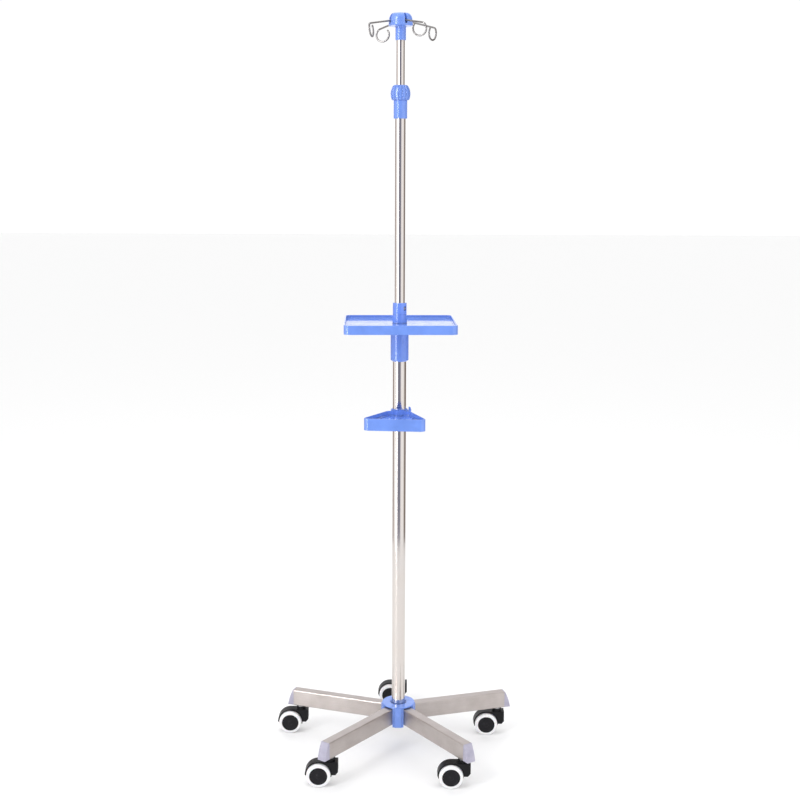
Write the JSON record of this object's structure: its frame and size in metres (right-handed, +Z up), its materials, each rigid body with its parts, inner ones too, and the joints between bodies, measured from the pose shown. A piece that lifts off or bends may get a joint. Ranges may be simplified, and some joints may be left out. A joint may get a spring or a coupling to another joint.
{
  "type": "mobile infusion stand",
  "caption": "Mobile infusion stand: height-adjustable steel pole with folding bag hooks, a tray, a small cup holder and a five-leg base on twin-wheel casters.",
  "frame": {"origin": "on the floor, under the pole's axis", "axes": "+Z up along the pole; -Y is the front, where the small tray is; +X to the right seen from the front"},
  "size_m": [0.5857, 0.5365, 1.7455],
  "materials": {
    "blue_plastic": "moulded, satin gloss",
    "polished_steel": "polished stainless tube",
    "brushed_steel": "brushed along the leg",
    "hook_wire": "polished stainless wire",
    "end_cap_plastic": "moulded, matte",
    "caster_plastic": "fine moulded texture",
    "wheel_disc_plastic": "satin",
    "white_tyre": "soft matte",
    "zinc_steel": "zinc plated",
    "nylon": "natural nylon"
  },
  "bodies": {
    "base": {"base_hub": "blue_plastic", "hub_bolt": "zinc_steel", "leg_1": "brushed_steel", "leg_2": "brushed_steel", "leg_3": "brushed_steel", "leg_4": "brushed_steel", "leg_5": "brushed_steel", "leg_bolts": "zinc_steel", "leg_end_caps": "end_cap_plastic", "caster_stems": "zinc_steel", "lower_tube": "polished_steel", "middle_tube": "polished_steel", "reducer_sleeve": "blue_plastic", "lock_sleeve": "blue_plastic", "lock_collet": "nylon"},
    "caster_1": {"caster_hood_1": "caster_plastic", "caster_axle_1": "zinc_steel"},
    "caster_1_wheel_front": {"wheel_1_front": "wheel_disc_plastic", "tyre_1_front": "white_tyre"},
    "caster_1_wheel_rear": {"wheel_1_rear": "wheel_disc_plastic", "tyre_1_rear": "white_tyre"},
    "caster_2": {"caster_hood_2": "caster_plastic", "caster_axle_2": "zinc_steel"},
    "caster_2_wheel_front": {"wheel_2_front": "wheel_disc_plastic", "tyre_2_front": "white_tyre"},
    "caster_2_wheel_rear": {"wheel_2_rear": "wheel_disc_plastic", "tyre_2_rear": "white_tyre"},
    "caster_3": {"caster_hood_3": "caster_plastic", "caster_axle_3": "zinc_steel"},
    "caster_3_wheel_front": {"wheel_3_front": "wheel_disc_plastic", "tyre_3_front": "white_tyre"},
    "caster_3_wheel_rear": {"wheel_3_rear": "wheel_disc_plastic", "tyre_3_rear": "white_tyre"},
    "caster_4": {"caster_hood_4": "caster_plastic", "caster_axle_4": "zinc_steel"},
    "caster_4_wheel_front": {"wheel_4_front": "wheel_disc_plastic", "tyre_4_front": "white_tyre"},
    "caster_4_wheel_rear": {"wheel_4_rear": "wheel_disc_plastic", "tyre_4_rear": "white_tyre"},
    "caster_5": {"caster_hood_5": "caster_plastic", "caster_axle_5": "zinc_steel"},
    "caster_5_wheel_front": {"wheel_5_front": "wheel_disc_plastic", "tyre_5_front": "white_tyre"},
    "caster_5_wheel_rear": {"wheel_5_rear": "wheel_disc_plastic", "tyre_5_rear": "white_tyre"},
    "top_pole": {"top_tube": "polished_steel", "top_tube_bush": "nylon", "hook_hub": "blue_plastic", "hook_pins": "zinc_steel"},
    "height_nut": {"lock_nut": "blue_plastic"},
    "fold_hook_1": {"hook_1": "hook_wire"},
    "fold_hook_2": {"hook_2": "hook_wire"},
    "fold_hook_3": {"hook_3": "hook_wire"},
    "fold_hook_4": {"hook_4": "hook_wire"},
    "tray_slider": {"tray_collar": "blue_plastic", "tray_set_screw": "zinc_steel"},
    "tray_plate": {"tray": "blue_plastic"},
    "holder_slider": {"small_tray_liner": "blue_plastic"},
    "holder": {"small_tray": "blue_plastic"},
    "holder_knob": {"small_tray_knob": "blue_plastic"}
  },
  "joints": [
    {"name": "caster_1_swivel", "type": "hinge", "parent": "base", "child": "caster_1", "pos_m": [0.00453, 0.25946, 0.055], "axis": [0, 0, 1], "continuous": true},
    {"name": "caster_1_wheel_front_spin", "type": "hinge", "parent": "caster_1", "child": "caster_1_wheel_front", "pos_m": [-0.02247, 0.25946, 0.028], "axis": [0, 1, 0], "continuous": true},
    {"name": "caster_1_wheel_rear_spin", "type": "hinge", "parent": "caster_1", "child": "caster_1_wheel_rear", "pos_m": [-0.02247, 0.25946, 0.028], "axis": [0, 1, 0], "continuous": true},
    {"name": "caster_2_swivel", "type": "hinge", "parent": "base", "child": "caster_2", "pos_m": [-0.24536, 0.08449, 0.055], "axis": [0, 0, 1], "continuous": true},
    {"name": "caster_2_wheel_front_spin", "type": "hinge", "parent": "caster_2", "child": "caster_2_wheel_front", "pos_m": [-0.27236, 0.08449, 0.028], "axis": [0, 1, 0], "continuous": true},
    {"name": "caster_2_wheel_rear_spin", "type": "hinge", "parent": "caster_2", "child": "caster_2_wheel_rear", "pos_m": [-0.27236, 0.08449, 0.028], "axis": [0, 1, 0], "continuous": true},
    {"name": "caster_3_swivel", "type": "hinge", "parent": "base", "child": "caster_3", "pos_m": [-0.15617, -0.20725, 0.055], "axis": [0, 0, 1], "continuous": true},
    {"name": "caster_3_wheel_front_spin", "type": "hinge", "parent": "caster_3", "child": "caster_3_wheel_front", "pos_m": [-0.18317, -0.20725, 0.028], "axis": [0, 1, 0], "continuous": true},
    {"name": "caster_3_wheel_rear_spin", "type": "hinge", "parent": "caster_3", "child": "caster_3_wheel_rear", "pos_m": [-0.18317, -0.20725, 0.028], "axis": [0, 1, 0], "continuous": true},
    {"name": "caster_4_swivel", "type": "hinge", "parent": "base", "child": "caster_4", "pos_m": [0.14884, -0.21257, 0.055], "axis": [0, 0, 1], "continuous": true},
    {"name": "caster_4_wheel_front_spin", "type": "hinge", "parent": "caster_4", "child": "caster_4_wheel_front", "pos_m": [0.12184, -0.21257, 0.028], "axis": [0, 1, 0], "continuous": true},
    {"name": "caster_4_wheel_rear_spin", "type": "hinge", "parent": "caster_4", "child": "caster_4_wheel_rear", "pos_m": [0.12184, -0.21257, 0.028], "axis": [0, 1, 0], "continuous": true},
    {"name": "caster_5_swivel", "type": "hinge", "parent": "base", "child": "caster_5", "pos_m": [0.24816, 0.07587, 0.055], "axis": [0, 0, 1], "continuous": true},
    {"name": "caster_5_wheel_front_spin", "type": "hinge", "parent": "caster_5", "child": "caster_5_wheel_front", "pos_m": [0.22116, 0.07587, 0.028], "axis": [0, 1, 0], "continuous": true},
    {"name": "caster_5_wheel_rear_spin", "type": "hinge", "parent": "caster_5", "child": "caster_5_wheel_rear", "pos_m": [0.22116, 0.07587, 0.028], "axis": [0, 1, 0], "continuous": true},
    {"name": "pole_height", "type": "slide", "parent": "base", "child": "top_pole", "axis": [0, 0, 1], "range_m": [-0.095, 0.43]},
    {"name": "height_nut_turn", "type": "hinge", "parent": "base", "child": "height_nut", "pos_m": [0, 0, 1.572], "axis": [0, 0, 1], "range_deg": [0, 180]},
    {"name": "tray_height", "type": "slide", "parent": "base", "child": "tray_slider", "axis": [0, 0, 1], "range_m": [0, 0.41]},
    {"name": "tray_swivel", "type": "hinge", "parent": "tray_slider", "child": "tray_plate", "pos_m": [0, 0, 1.045], "axis": [0, 0, 1], "continuous": true},
    {"name": "holder_height", "type": "slide", "parent": "base", "child": "holder_slider", "axis": [0, 0, 1], "range_m": [-0.69, 0.1]},
    {"name": "holder_swivel", "type": "hinge", "parent": "holder_slider", "child": "holder", "pos_m": [0, 0, 0.829], "axis": [0, 0, 1], "continuous": true},
    {"name": "holder_knob_turn", "type": "hinge", "parent": "holder", "child": "holder_knob", "pos_m": [0.02389, -0.0023, 0.838], "axis": [0.9954, -0.0958, 0], "range_deg": [0, 450]},
    {"name": "hook_1_fold", "type": "hinge", "parent": "top_pole", "child": "fold_hook_1", "pos_m": [0.01691, 0.00734, 1.729], "axis": [0.5878, -0.809, 0], "range_deg": [0, 88]},
    {"name": "hook_2_fold", "type": "hinge", "parent": "top_pole", "child": "fold_hook_2", "pos_m": [-0.00734, 0.01691, 1.729], "axis": [0.809, 0.5878, 0], "range_deg": [0, 88]},
    {"name": "hook_3_fold", "type": "hinge", "parent": "top_pole", "child": "fold_hook_3", "pos_m": [-0.01691, -0.00734, 1.729], "axis": [-0.5878, 0.809, 0], "range_deg": [0, 88]},
    {"name": "hook_4_fold", "type": "hinge", "parent": "top_pole", "child": "fold_hook_4", "pos_m": [0.00734, -0.01691, 1.729], "axis": [-0.809, -0.5878, 0], "range_deg": [0, 88]}
  ]
}
